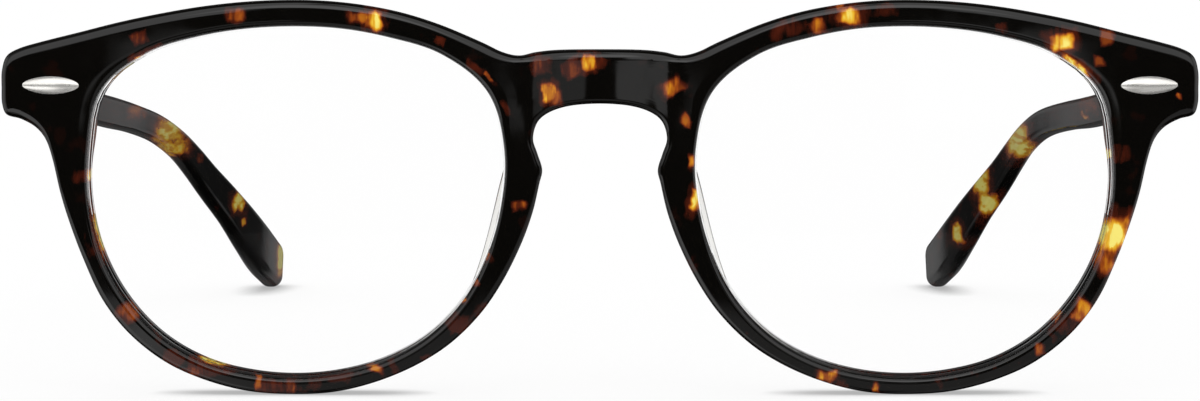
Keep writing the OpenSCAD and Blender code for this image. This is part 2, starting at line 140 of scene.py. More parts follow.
# Hinges and plaques
HINGE_Z = 36.0
LEAF_T = 0.9
FRONT_LEAF_X = 60.4
FRONT_LEAF_W = 6.2
FRONT_LEAF_H = 6.2
POCKET_GAP = 0.05
TEMPLE_LEAF_END = 14.2
TEMPLE_LEAF_Z = 33.2
TEMPLE_LEAF_H = 4.6
LEAF_LIFT = 0.02
RIVET_AT = [(10, 34.2), (13, 36.9)]
RIVET_L = 3.6
RIVET_D = 1.0
PLAQUE_X = 63.4
PLAQUE_Z = 36.0
PLAQUE_SINK = 0.6
PLAQUE_LIFT = 0.03
PLAQUE_ROWS = 48
PLAQUE_COLUMNS = 24
PLAQUE_LEAST = 0.0001
PIN_REACH = 2.0
PIN_D = 0.9
PIN_INTO = 0.2
PIN_SHORT = 0.02
FIT_GAP = 0.04
CUT_PAST = 1
ROD_STEPS = 32

# Left temple: rows of Y, inner face X, middle Z, height and thickness
BUTT_GAP = 0.05
TEMPLE_FACE_X = 65.0
TEMPLE_ROWS = [(BUTT_Y + BUTT_GAP, 65.0, 35.8, 7.2, 3.9), (11, 65.0, 35.6, 7.1, 3.9),
               (18, 64.6, 34.6, 6.1, 3.6), (26, 63.8, 33.0, 4.9, 3.3),
               (34, 63.0, 31.2, 4.2, 3.0), (44, 62.0, 29.4, 3.9, 2.9),
               (55, 61.0, 27.7, 3.9, 2.8), (67, 59.8, 25.8, 3.7, 2.7),
               (80, 58.1, 23.2, 3.7, 2.6), (90, 56.4, 20.1, 3.9, 2.5),
               (97, 54.9, 16.9, 4.3, 2.5), (103, 53.3, 13.4, 4.8, 2.5),
               (110, 51.2, 9.2, 5.6, 2.5), (118, 49.2, 4.7, 6.7, 2.85),
               (126, 47.8, 1.0, 7.2, 3.2), (136, 46.8, -2.47, 6.7, 3.2)]
TEMPLE_ROWS = [Vector(row) for row in TEMPLE_ROWS]
TEMPLE_N = len(TEMPLE_ROWS)
BUTT_STRAIGHT = 19
AIM_STEP = 0.05
# Radius of the corners before the ear, what share of the half thickness it is behind it, and
# between which rows it changes
CORNER_R = 0.95
TIP_SHARE = 0.85
EAR_ROWS = (8, 14)
# The tip's rings: how many, how far the last one stays from the end, how far they reach as a
# share of half the height, how slowly they grow thin, and how round the last one is
TIP_STEPS = 14
TIP_OPEN = 0.35
TIP_REACH = 0.985
TIP_BLUNT = 0.48
TIP_ROUND = 0.98
# The right temple stands further out, and higher at the ear, between these Y
RIGHT_OUT = 1.3
RIGHT_OUT_Y = (80, 110)
RIGHT_LIFT = 0.7
RIGHT_RISE_Y = (50, 85)
RIGHT_SINK_Y = (102, 128)
WIRE_W = 1.1
WIRE_H = 1.3
WIRE_PLAY = 0.05
WIRE_MOUTH = -0.02
WIRE_END = 13.2
WIRE_STEPS = 26

# Flecks in the tortoiseshell, in millimetres: place, half-sizes, turn in degrees about Y, and
# strength from dark red at 0.26 to pale yellow over 1, where the pale yellow is a painted glow of
# light shining through the acetate. A place is X and Z at one depth behind the front's middle, and
# X, Y and Z in the temples, with Y counted from REST_Y
EDGE_Y = 0
FACE_Y = 1.1
WALL_Y = 4.0
FRONT_FLECKS = {
    FACE_Y: [
        (-42, 44.2, 1.2, 4, 1, 10, 0.46), (-53, 41.5, 1.1, 4, 0.9, 20, 0.3),
        (-52.2, 39.1, 1.6, 3, 0.7, 20, 1.15), (-26.1, 43.5, 1.1, 4, 1.2, -8, 1),
        (-27.6, 43.9, 1.3, 4, 0.9, -8, 0.5), (-18.5, 41, 1, 3, 0.6, -25, 0.42),
        (-12.7, 37, 0.9, 3, 0.3, -45, 0.62), (-14.5, 38.2, 1.6, 3, 0.7, -35, 0.24),
        (-11, 33.4, 0.5, 3, 1.2, 20, 0.3), (-5.9, 35.2, 0.9, 3, 1.1, 0, 1),
        (-5.1, 34.7, 1.1, 3, 1.3, 0, 0.58), (-3.3, 38.1, 1.4, 3, 1.2, 25, 0.46),
        (-1.5, 38.7, 0.9, 3, 1, -5, 1), (-0.2, 38.6, 1.2, 3, 0.9, -5, 0.52),
        (-6.8, 38.4, 1.4, 3, 1.5, 0, 0.32), (8.4, 35.8, 1.5, 3, 0.9, 30, 0.6),
        (10.1, 31.9, 1, 3, 0.6, -30, 0.5), (-9.3, 22, 1.1, 4, 0.7, 0, 0.42),
        (-13.3, 16.9, 0.55, 3, 0.95, 20, 0.82), (-14.7, 13.4, 0.5, 3, 1.3, 30, 0.36),
        (-16.4, 11.2, 0.6, 3, 0.8, 40, 0.62), (10.7, 27.4, 0.5, 4, 1, 0, 0.56),
        (11, 22.7, 0.7, 4, 1.4, -10, 0.96), (-54.4, 9.8, 1.8, 4, 1.3, 45, 0.36),
        (-47.5, 2.6, 1.5, 3, 1, 20, 0.3), (-39.7, 1.5, 0.5, 3, 1.1, 10, 0.42),
        (-36, 0.9, 0.8, 3, 1, 0, 0.42), (-37.8, 0.8, 2.6, 3, 1, 0, 0.24),
        (-26.2, 3.1, 1.2, 3, 0.6, -20, 0.52), (25, 42.8, 1.1, 3, 0.8, 20, 0.7),
        (21.5, 42.4, 2.6, 3, 1.3, 20, 0.27), (32.5, 44.6, 2.2, 3, 1, 0, 0.26),
        (28.5, 44.2, 1.6, 4, 1.2, 0, 0.95), (46.3, 42.6, 0.7, 2, 0.6, 0, 0.56),
        (53.2, 41, 1.5, 3, 1.2, 10, 0.96), (54.7, 37.9, 2, 3.4, 0.7, -33, 1.3),
        (58.5, 41.5, 0.9, 3, 1, 0, 0.32), (57.6, 38.7, 0.9, 3, 0.8, 0, 0.32),
        (59.4, 18.6, 2, 6, 2.1, 5, 1.2), (58.6, 16.2, 1.8, 6, 2.4, 15, 0.5),
        (56, 9.6, 1.2, 4, 1.5, -30, 0.6), (51, 5.3, 0.8, 3, 0.7, 0, 0.42),
        (26.2, 2.2, 1.1, 3, 0.8, -10, 0.66), (32, 0.9, 0.6, 2, 0.8, 0, 0.62),
    ],
    # In the inner walls, the flecks over 1 are a painted glow of light shining through the rim
    WALL_Y: [
        (-57.1, 19.3, 1.7, 2, 2.5, 10, 2.1), (-55.4, 15.4, 1.2, 2, 1.4, 10, 0.36),
        (-59.1, 25.5, 1.2, 3, 0.7, 0, 1.1), (-59.1, 25.6, 1, 2.2, 1.4, 0, 0.4),
        (-59.3, 28, 1.4, 2.2, 9, 0, 0.3), (-44.6, 3.9, 2.4, 2.6, 1.1, 15, 1.2),
        (-33, 2.3, 14, 3, 1.2, 0, 0.17), (59.3, 28.1, 1.2, 2.6, 0.6, 0, 1.15),
        (59.4, 28, 1.4, 2.2, 9, 0, 0.28), (54, 8.4, 1.6, 2.6, 0.8, -35, 0.9),
        (35, 2.3, 16, 3, 1.2, 0, 0.17),
    ],
    EDGE_Y: [
        (66.7, 34.7, 0.4, 1.6, 0.4, 0, 0.5),
    ],
}
TEMPLE_FLECKS = {
    "left": [
        (-66, 16.6, 36, 2.5, 5, 1.8, 10, 0.72), (-65, 34.6, 33, 2.2, 5, 1.2, -10, 0.5),
        (-59.8, 63, 29.8, 2, 8, 1.3, 0, 0.42), (-57.6, 81, 26.2, 2.4, 9, 2.3, 0, 0.9),
        (-57.8, 84, 23.6, 2.4, 9, 1.4, 0, 0.8), (-54.8, 95.6, 21.6, 1.2, 1.6, 0.8, 0, 0.3),
        (-50.8, 110.4, 14.4, 1.8, 2.8, 1.4, 0, 1), (-50.6, 112.4, 11.6, 1.5, 1.4, 0.7, 0, 0.66),
        (-46.9, 135.8, 4.3, 2.2, 4.4, 2.6, 0, 1.2), (-59, 50, 31, 6, 40, 5, 0, 0.14),
    ],
    "right": [
        (66.5, 22.6, 34.6, 2.5, 6, 1.5, 0, 0.66), (61.6, 47, 31.6, 2, 8, 1.4, 0, 0.36),
        (61.6, 49, 29.8, 2, 3, 0.4, 0, 0.6), (56.8, 89, 24.4, 2.6, 7, 2.8, 0, 0.96),
        (57.4, 86, 22, 2.4, 5, 1.4, 0, 0.8), (53.2, 106.4, 17.6, 2, 4, 2.4, 0, 0.92),
        (53.8, 104, 14.2, 2, 3.4, 2.2, 0, 1), (50.9, 116, 9.6, 2, 2.6, 1.5, 0, 0.96),
        (49, 126.2, 8.6, 1.4, 2.4, 1.2, 0, 0.3), (59, 50, 31, 6, 40, 5, 0, 0.14),
    ],
}

# A fleck's edge: how much rounder than a block it is, where it fades, and its faint halo, all by
# the distance from its middle as a share of its half-size
FLECK_ROUND = 0.4
FLECK_EDGE = (0.35, 1.4)
HALO_EDGE = (0.9, 2.4)
HALO = 0.22
# Noise that moves the flecks' edges: scale, detail and reach in metres, and the mean of both
WARP_WIDE = (520, 1.0, 0.0014)
WARP_FINE = (2400, 2.0, 0.00025)
WARP_MEAN = 0.00082
# Grain in the flecks: how the noise is stretched, its scale, and how dark it gets
FRONT_GRAIN = ((1.0, 1.0, 0.3), 1100, 0.66)
TEMPLE_GRAIN = ((1.0, 0.05, 1.0), 1300, 0.8)
GRAIN_EDGE = (0.34, 0.6)
GRAIN_BRIGHT = 1.14
# Faint red clouds between the flecks, stronger low down as a painted reflection of the white table
# on
# low parts: scale, edge, heights and strengths
CLOUD_SCALE = 300
CLOUD_EDGE = (0.46, 0.68)
CLOUD_Z = (0.006, 0.02)
CLOUD_LOW_WITH_REFLECTION = 0.2
CLOUD_HIGH = 0.11
# Which colour of the acetate stands at which strength of a fleck; the last is a painted glow
ACETATE_STOPS = [("ground", 0.0), ("ground", 0.1), ("red", 0.26), ("orange", 0.44),
                 ("amber", 0.63), ("yellow", 0.84), ("straw_glow", 1.0)]
ACETATE_IOR = 1.48
LENS_IOR = 1.12

# Scale of the noise that varies a finish, and the least and most roughness
ACETATE_POLISH = (420, 0.04, 0.08)
CRYSTAL_POLISH = (900, 0.03, 0.08)
SATIN_BRUSH = (9000, 0.27, 0.29)
NICKEL_BRUSH = (7000, 0.24, 0.38)
FINISH_DETAIL = 3.0
FINISH_SPAN = (0.3, 0.7)
# Scale of the faint waves in the polish, their strength, and their height in metres
ACETATE_WAVES = (160, 0.04, 0.001)
SATIN_METAL = 0.78
SATIN_GRAIN = (0.08, 1.0, 1.0)
LEAF_GRAIN = (1.0, 1.0, 0.1)
WIRE_GRAIN = (1.0, 0.1, 1.0)
# Nickel silver: scale and span of its tone, how dark it gets, and the brushed lines' relief
NICKEL_SCALE = 600
NICKEL_SPAN = (0.35, 0.65)
NICKEL_DARK = 0.9
NICKEL_LINES = (0.08, 0.0001)

# What polished surfaces mirror of the studio. Each light is a product of smooth steps: the kind of
# angle, its two ends in degrees, and the brightness at each. An azimuth counts from the camera
# towards +X and a turn to either side, a rise counts upwards and a height both ways
LIGHTS = {
    "overhead": [("rise", 20, 28, 0, 1), ("rise", 45, 75, 1.7, 0.4),
                 ("turn", 60, 110, 1, 0.12), ("turn", 10, 28, 1.3, 0.4)],
    "sides": [("turn", 55, 80, 0, 1), ("turn", 112, 136, 0.85, 0), ("height", 20, 45, 1, 0)],
    "back": [("turn", 152, 162, 0, 0.2), ("turn", 167, 172, 1, 0.3), ("height", 20, 45, 1, 0)],
    "walls": [("height", 20, 45, 0.03, 0)],
    "table": [("rise", -17, -14.5, 1, 0), ("rise", -55, -40, 0, 1),
              ("turn", 60, 90, 1, 0.05), ("azimuth", -22, -6, 1.4, 0.35)],
    "cards": [("turn", 5, 6.5, 0, 1), ("turn", 15.5, 18, 1, 0), ("rise", -5, -3.5, 0, 1),
              ("rise", 0.6, 1.8, 1, 0), ("azimuth", -1, 1, 0.45, 0.75)],
    "high board": [("turn", 8, 12, 0, 1), ("turn", 60, 80, 1, 0), ("rise", 5, 8, 0, 1.25)],
    "low board": [("turn", 8, 12, 0, 1), ("turn", 60, 80, 1, 0), ("rise", -20, -16, 0.4, 0)],
}
STUDIO_DARK = 0.01
TABLE_REACH = 8
CONTACT_OPEN = (0.35, 1.0)
CONTACT_SAMPLES = 16

# Where the camera stands, in metres, and how far it looks down, in degrees
CAMERA_AT = (0, -0.56908, 0.05936)
CAMERA_DOWN = 4.196
SENSOR_W = 36
CAMERA_SEES = 50


def lerp(a, b, t):
    return a + (b - a) * t


def ease(a, b, x):
    t = min(1, max(0, (x - a) / (b - a)))
    return t * t * (3 - 2 * t)


def curve(a, b, c, d, t):
    """A smooth curve through b and c, with a and d as their neighbours."""
    return b + 0.5 * t * (c - a + t * (2 * a - 5 * b + 4 * c - d + t * (3 * (b - c) + d - a)))


def aperture_r(angle):
    n = len(APERTURE)
    s = angle / APERTURE_STEP
    i = math.floor(s)
    return curve(*(APERTURE[(i + k) % n] for k in (-1, 0, 1, 2)), s - i)


def aperture_point(angle):
    a = math.radians(angle)
    r = aperture_r(angle)
    return Vector((LENS_X - r * math.cos(a), LENS_Z + r * math.sin(a)))


def aperture_out(angle):
    """Direction from the edge of the aperture into the rim."""
    d = aperture_point(angle + 0.5) - aperture_point(angle - 0.5)
    return Vector((-d.y, d.x)).normalized()


def across(x):
    return math.hypot(x, MIDDLE_SOFT) - math.hypot(LENS_X, MIDDLE_SOFT)


def eye_depth(x):
    return WRAP * across(x) + across(x) ** 2 / (2 * BASE_R)


def depth(x, z):
    """Depth of the reference surface: a sphere behind each eye, joined across the middle."""
    return eye_depth(x) + (z - LENS_Z) ** 2 / (2 * BASE_R)


def slope_x(x):
    return (WRAP + across(x) / BASE_R) * x / math.hypot(x, MIDDLE_SOFT)


def backward(x, z):
    return Vector((-slope_x(x), 1, -(z - LENS_Z) / BASE_R)).normalized()


def place(p, back):
    """A point at a distance behind the reference surface."""
    return Vector((p.x, depth(p.x, p.y), p.y)) + back * backward(p.x, p.y)


def face_at(p):
    """How far the face stands behind the reference surface; the bridge stands in front of it."""
    v = eye_depth(p.x) - BRIDGE_SET - p.x * p.x / (2 * BRIDGE_R)
    if v < -BRIDGE_SOFT:
        return 0
    if v < BRIDGE_SOFT:
        v = (v + BRIDGE_SOFT) ** 2 / (4 * BRIDGE_SOFT)
    return -v * ease(BRIDGE_LOW, BRIDGE_HIGH, p.y)


def back_at(p):
    """How far the back stands behind the reference surface; it is flat behind the end pieces."""
    flat = (BUTT_Y - depth(p.x, p.y)) / backward(p.x, p.y).y
    return lerp(RIM_T, flat, ease(*END_X, abs(p.x)) * ease(*END_Z, p.y))


def outline_row(i):
    last = len(OUTLINE) - 1
    if i < 0:
        return Vector((-OUTLINE[1].x, OUTLINE[1].y, 2 * OUTLINE[0].z - OUTLINE[1].z))
    if i > last:
        return Vector((-OUTLINE[last - 1].x, OUTLINE[last - 1].y,
                       2 * OUTLINE[last].z - OUTLINE[last - 1].z))
    return OUTLINE[i]


def outline_at(s):
    i = min(math.floor(s), len(OUTLINE) - 2)
    return curve(*(outline_row(i + k) for k in (-1, 0, 1, 2)), s - i)


def at_rest(p, side=1):
    """A point of the upright front's frame, where it stands, in metres."""
    lean = math.radians(REST_LEAN)
    return Vector((side * p.x,
                   p.y * math.cos(lean) - p.z * math.sin(lean) + REST_Y,
                   p.y * math.sin(lean) + p.z * math.cos(lean) + REST_Z)) * MM


def make_piece(name, points, faces, side=1):
    """A closed mesh piece from points of the upright front's frame."""
    mesh = bpy.data.meshes.new(name)
    mesh.from_pydata([at_rest(p, side) for p in points], [], faces)
    shape = bmesh.new()
    shape.from_mesh(mesh)
    bmesh.ops.delete(shape, geom=[v for v in shape.verts if not v.link_faces], context="VERTS")
    bmesh.ops.recalc_face_normals(shape, faces=shape.faces)
    shape.to_mesh(mesh)
    shape.free()
    piece = bpy.data.objects.new(name, mesh)
    bpy.context.scene.collection.objects.link(piece)
    return piece


def ring_faces(n, m):
    """The faces between n closed rings of m points."""
    return [(k * m + c, k * m + (c + 1) % m, (k + 1) * m + (c + 1) % m, (k + 1) * m + c)
            for k in range(n - 1) for c in range(m)]


def tube(name, rings, side=1):
    """A closed tube through rings of points."""
    n, m = len(rings), len(rings[0])
    faces = ring_faces(n, m)
    faces.append(tuple(range(m)))
    faces.append(tuple((n - 1) * m + c for c in range(m)))
    return make_piece(name, [p for ring in rings for p in ring], faces, side)


def box(name, low, high, side):
    square = [(low[0], low[2]), (high[0], low[2]), (high[0], high[2]), (low[0], high[2])]
    return tube(name, [[Vector((x, y, z)) for x, z in square] for y in (low[1], high[1])], side)


def rod(name, start, end, radius, side):
    """A round rod between two points."""
    turn = (end - start).to_track_quat("Z", "Y")
    arc = [math.tau * k / ROD_STEPS for k in range(ROD_STEPS)]
    ring = [turn @ Vector((math.cos(w), math.sin(w), 0)) for w in arc]
    return tube(name, [[p + radius * d for d in ring] for p in (start, end)], side)


def combine(piece, tools, operation):
    """Cuts the tools from a piece, or joins them to it, and removes them."""
    for tool in tools:
        step = piece.modifiers.new("step", "BOOLEAN")
        step.operation = operation
        step.solver = "EXACT"
        step.object = tool
    shaped = piece.evaluated_get(bpy.context.evaluated_depsgraph_get())
    mesh = bpy.data.meshes.new_from_object(shaped)
    piece.modifiers.clear()
    rough = piece.data
    piece.data = mesh
    bpy.data.meshes.remove(rough)
    for tool in tools:
        bpy.data.meshes.remove(tool.data)


def finish_piece(piece, node, body, material, crease=CREASE):
    """Smooths a piece, gives it its material, and puts it in the CAD node's place."""
    piece.data.shade_smooth()
    piece.data.set_sharp_from_angle(angle=math.radians(crease))
    even = piece.modifiers.new("even_shading", "WEIGHTED_NORMAL")
    even.keep_sharp = True
    piece.data.materials.clear()
    piece.data.materials.append(material)
    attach(piece, body)
    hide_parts(node)


class Wiring:
    """Adds nodes to an empty tree and joins them."""

    def __init__(self, tree):
        self.tree = tree
        tree.nodes.clear()

    def node(self, kind, inputs=None, **settings):
        made = self.tree.nodes.new(kind)
        for key, value in settings.items():
            setattr(made, key, value)
        for key, value in (inputs or {}).items():
            if isinstance(value, bpy.types.NodeSocket):
                self.tree.links.new(value, made.inputs[key])
            else:
                made.inputs[key].default_value = value
        return made

    def math(self, operation, *values, clamp=False):
        made = self.node("ShaderNodeMath", dict(enumerate(values)), operation=operation)
        made.use_clamp = clamp
        return made.outputs[0]

    def vector(self, operation, *values):
        made = self.node("ShaderNodeVectorMath", dict(enumerate(values)), operation=operation)
        return made.outputs["Value" if operation == "LENGTH" else "Vector"]

    def fade(self, value, low, high, to_low=0.0, to_high=1.0):
        """A smooth step of a value from to_low at low to to_high at high."""
        made = self.node("ShaderNodeMapRange",
                         {"Value": value, "From Min": low, "From Max": high,
                          "To Min": to_low, "To Max": to_high},
                         interpolation_type="SMOOTHSTEP")
        return made.outputs["Result"]

    def object_point(self):
        return self.node("ShaderNodeTexCoord").outputs["Object"]

    def stretch(self, at, scale):
        return self.node("ShaderNodeMapping", {"Vector": at, "Scale": scale}).outputs[0]

    def noise(self, at, scale, detail=FINISH_DETAIL, output="Fac"):
        made = self.node("ShaderNodeTexNoise", {"Vector": at, "Scale": scale, "Detail": detail})
        return made.outputs[output]

    def warp(self, at, moved, scale, detail, reach):
        """Moves a point by a noise of all three axes."""
        return self.vector("MULTIPLY_ADD", self.noise(at, scale, detail, "Color"),
                           (reach,) * 3, moved)

    def finish(self, grain, low, high):
        """Roughness that follows a noise."""
        return self.fade(grain, *FINISH_SPAN, low, high)

    def ramp(self, value, stops):
        made = self.node("ShaderNodeValToRGB", {"Fac": value})
        ramp = made.color_ramp
        while len(ramp.elements) < len(stops):
            ramp.elements.new(1)
        for element, (position, colour) in zip(ramp.elements, stops):
            element.position = position
            element.color = (*colour, 1)
        return made.outputs["Color"]

    def bump(self, height, strength, distance):
        made = self.node("ShaderNodeBump",
                         {"Height": height, "Strength": strength, "Distance": distance})
        return made.outputs["Normal"]

    def surface(self, inputs):
        shader = self.node("ShaderNodeBsdfPrincipled", inputs)
        self.node("ShaderNodeOutputMaterial", {"Surface": shader.outputs["BSDF"]})


def new_material(name):
    material = bpy.data.materials.new(name)
    material.use_nodes = True
    return material, Wiring(material.node_tree)


def fleck_group():
    """A soft-edged block: 1 in its middle and 0 outside, times its strength."""
    name = "fleck"
    if name in bpy.data.node_groups:
        return bpy.data.node_groups[name]
    group = bpy.data.node_groups.new(name, "ShaderNodeTree")
    for socket, kind in (("At", "NodeSocketVector"), ("Middle", "NodeSocketVector"),
                         ("Half Size", "NodeSocketVector"), ("Turn", "NodeSocketFloat"),
                         ("Strength", "NodeSocketFloat")):
        group.interface.new_socket(socket, in_out="INPUT", socket_type=kind)
    group.interface.new_socket("Mask", in_out="OUTPUT", socket_type="NodeSocketFloat")
    w = Wiring(group)
    given = w.node("NodeGroupInput").outputs
    off = w.vector("SUBTRACT", given["At"], given["Middle"])
    turned = w.node("ShaderNodeVectorRotate", {"Vector": off, "Angle": given["Turn"]},
                    rotation_type="Y_AXIS").outputs[0]
    share = w.vector("DIVIDE", turned, given["Half Size"])
    sides = w.node("ShaderNodeSeparateXYZ", {"Vector": w.vector("ABSOLUTE", share)}).outputs
    square = w.math("MAXIMUM", w.math("MAXIMUM", sides["X"], sides["Y"]), sides["Z"])
    far = w.math("MULTIPLY_ADD", w.vector("LENGTH", share), FLECK_ROUND,
                 w.math("MULTIPLY", square, 1 - FLECK_ROUND))
    mask = w.math("MAXIMUM", w.fade(far, *FLECK_EDGE, 1.0, 0.0),
                  w.fade(far, *HALO_EDGE, HALO, 0.0))
    mask = w.math("MULTIPLY", mask, given["Strength"])
    w.node("NodeGroupOutput", {"Mask": mask})
    return group


def tortoiseshell(name, flecks, streaked_and_shaded):
    """Polished tortoiseshell acetate: flecks of red, amber and yellow in near-black, the palest a
    painted glow, red clouds stronger low down as a painted reflection of the table, and on the
    temples a tint with painted shade.
    """
    colours = bpy.context.scene.spectacles.acetate
    stretch, scale, dark = TEMPLE_GRAIN if streaked_and_shaded else FRONT_GRAIN
    material, w = new_material(name)
    at = w.object_point()
    moved = w.warp(at, w.warp(at, at, *WARP_WIDE), *WARP_FINE)
    moved = w.vector("SUBTRACT", moved, (WARP_MEAN,) * 3)
    mask = None
    for x, y, z, wide, deep, high, turn, strength in flecks:
        one = w.node("ShaderNodeGroup",
                     {"At": moved, "Middle": Vector((x, y + REST_Y, z)) * MM,
                      "Half Size": Vector((wide, deep, high)) * MM,
                      "Turn": math.radians(turn), "Strength": strength},
                     node_tree=fleck_group()).outputs["Mask"]
        mask = one if mask is None else w.math("MAXIMUM", mask, one)
    grain = w.noise(w.stretch(at, stretch), scale, 2.0)
    mask = w.math("MULTIPLY", mask, w.fade(grain, *GRAIN_EDGE, dark, GRAIN_BRIGHT))
    # The clouds grow stronger low down: a painted reflection of the table on low parts
    height = w.node("ShaderNodeSeparateXYZ", {"Vector": at}).outputs["Z"]
    cloud_and_reflection = w.math("MULTIPLY", w.fade(w.noise(at, CLOUD_SCALE), *CLOUD_EDGE),
                   w.fade(height, *CLOUD_Z, CLOUD_LOW_WITH_REFLECTION, CLOUD_HIGH))
    mask = w.math("MAXIMUM", mask, cloud_and_reflection)
    colour = w.ramp(mask, [(stop, getattr(colours, tone)) for tone, stop in ACETATE_STOPS])
    # On the temples the flecks are tinted and darkened: partly tint, partly painted shade
    if streaked_and_shaded:
        colour = w.vector("MULTIPLY", colour, tuple(colours.tint_and_painted_shade))
    scale, smooth, rough = ACETATE_POLISH
    polish = w.finish(w.noise(at, scale), smooth, rough)
    scale, strength, height = ACETATE_WAVES
    waves = w.bump(w.noise(at, scale, 1.0), strength, height)
    w.surface({"Base Color": colour, "Roughness": polish, "Normal": waves, "IOR": ACETATE_IOR})
    return material


def lens_glass():
    settings = bpy.context.scene.spectacles.lens
    material, w = new_material("lens_glass")
    w.surface({"Base Color": (*settings.colour, 1), "Roughness": 0.0, "IOR": LENS_IOR,
               "Transmission Weight": 1.0})
    return material


def crystal_acetate():
    settings = bpy.context.scene.spectacles.pad
    scale, smooth, rough = CRYSTAL_POLISH
    material, w = new_material("crystal_acetate")
    polish = w.finish(w.noise(w.object_point(), scale), smooth, rough)
    w.surface({"Base Color": (*settings.colour, 1), "Roughness": polish, "IOR": ACETATE_IOR,
               "Transmission Weight": 1.0})
    return material


def satin_silver():
    settings = bpy.context.scene.spectacles.plaque
    scale, smooth, rough = SATIN_BRUSH
    material, w = new_material("satin_silver")
    brush = w.noise(w.stretch(w.object_point(), SATIN_GRAIN), scale)
    w.surface({"Base Color": (*settings.colour, 1), "Metallic": SATIN_METAL,
               "Roughness": w.finish(brush, smooth, rough)})
    return material


def nickel_silver(name, grain):
    colour = bpy.context.scene.spectacles.hinge.colour
    scale, smooth, rough = NICKEL_BRUSH
    material, w = new_material(name)
    at = w.object_point()
    lines = w.noise(w.stretch(at, grain), scale)
    low, high = NICKEL_SPAN
    tone = w.ramp(w.noise(at, NICKEL_SCALE),
                  [(low, [c * NICKEL_DARK for c in colour]), (high, colour)])
    w.surface({"Base Color": tone, "Metallic": 1.0,
               "Roughness": w.finish(lines, smooth, rough),
               "Normal": w.bump(lines, *NICKEL_LINES)})
    return material


class AcetateSettings(bpy.types.PropertyGroup):
    ground: FloatVectorProperty(
        name="Ground", description="Colour of the tortoiseshell between its flecks",
        subtype="COLOR", default=(0.0018, 0.0014, 0.0009), min=0, max=1)
    red: FloatVectorProperty(
        name="Red", description="Colour of the faintest flecks",
        subtype="COLOR", default=(0.075, 0.011, 0.004), min=0, max=1)
    orange: FloatVectorProperty(
        name="Orange", description="Colour of the edges of the bright flecks",
        subtype="COLOR", default=(0.32, 0.065, 0.008), min=0, max=1)
    amber: FloatVectorProperty(
        name="Amber", description="Colour of the bright flecks",
        subtype="COLOR", default=(0.66, 0.24, 0.012), min=0, max=1)
    yellow: FloatVectorProperty(
        name="Yellow", description="Colour of the middle of the brightest flecks",
        subtype="COLOR", default=(0.9, 0.52, 0.035), min=0, max=1)
    # The palest colour is a painted glow of light shining through the flecks
    straw_glow: FloatVectorProperty(
        name="Straw", description="Colour of the flecks that let the most light through",
        subtype="COLOR", default=(1.0, 0.86, 0.2), min=0, max=1)
    # Multiplies the temples' flecks: partly their tint, partly painted shade for their dimmer
    # inner faces
    tint_and_painted_shade: FloatVectorProperty(
        name="Shade", description="Tint of the flecks of the temples",
        subtype="COLOR", default=(0.45, 0.46, 0.5), min=0, max=1)


class FrontSettings(bpy.types.PropertyGroup):
    edge_radius: FloatProperty(
        name="Edge radius", description="Radius of the edges between faces and walls",
        default=0.0006, min=0.0004, max=0.0007, unit="LENGTH", precision=5)
    top_radius: FloatProperty(
        name="Top edge radius", description="Radius of the front's edge along its top",
        default=0.0011, min=0.0004, max=0.0012, unit="LENGTH", precision=5)
    row_steps: IntProperty(
        name="Steps a row", description="Stations between two rows of the outline",
        default=8, min=2, max=12)
    face_steps: IntProperty(
        name="Steps across", description="Faces across the front and the back of a rim",
        default=10, min=3, max=16)
    edge_steps: IntProperty(
        name="Steps round an edge", description="Faces round each rounded edge",
        default=6, min=2, max=8)


class LensSettings(bpy.types.PropertyGroup):
    thickness: FloatProperty(
        name="Thickness", description="Thickness of a lens",
        default=0.0018, min=0.0016, max=0.002, unit="LENGTH", precision=5)
    colour: FloatVectorProperty(
        name="Colour", description="Colour of the light that a lens lets through",
        subtype="COLOR", default=(1.0, 1.0, 1.0), min=0, max=1)


class PadSettings(bpy.types.PropertyGroup):
    height: FloatProperty(
        name="Height", description="How far the nose pads stand out behind the rims",
        default=0.004, min=0.0034, max=0.004, unit="LENGTH", precision=5)
    splay: FloatProperty(
        name="Splay", description="How far the pads lean towards the lenses",
        default=0.00125, min=0.001, max=0.00125, unit="LENGTH", precision=5)
    colour: FloatVectorProperty(
        name="Colour", description="Colour of the light that a pad lets through",
        subtype="COLOR", default=(0.96, 0.95, 0.92), min=0, max=1)


class PlaqueSettings(bpy.types.PropertyGroup):
    length: FloatProperty(
        name="Spindle length", description="Length of the spindle that the dome belongs to",
        default=0.0095, min=0.009, max=0.0095, unit="LENGTH", precision=5)
    radius: FloatProperty(
        name="Spindle radius", description="Greatest radius of that spindle",
        default=0.0012, min=0.001, max=0.0012, unit="LENGTH", precision=5)
    colour: FloatVectorProperty(
        name="Colour", description="Colour of the plaques' metal",
        subtype="COLOR", default=(0.9, 0.88, 0.84), min=0, max=1)


class HingeSettings(bpy.types.PropertyGroup):
    colour: FloatVectorProperty(
        name="Colour", description="Colour of the hinges, screws, rivets and core wires",
        subtype="COLOR", default=(0.7, 0.67, 0.6), min=0, max=1)


class TempleSettings(bpy.types.PropertyGroup):
    row_steps: IntProperty(
        name="Steps a row", description="Rings between two rows of a temple",
        default=8, min=3, max=12)
    corner_steps: IntProperty(
        name="Steps round a corner", description="Faces round each corner of the section",
        default=8, min=2, max=10)
    butt_edge: FloatProperty(
        name="Butt edge", description="Bevel of the edge round the end that meets the front",
        default=0.00012, min=0.00005, max=0.0003, unit="LENGTH", precision=5)


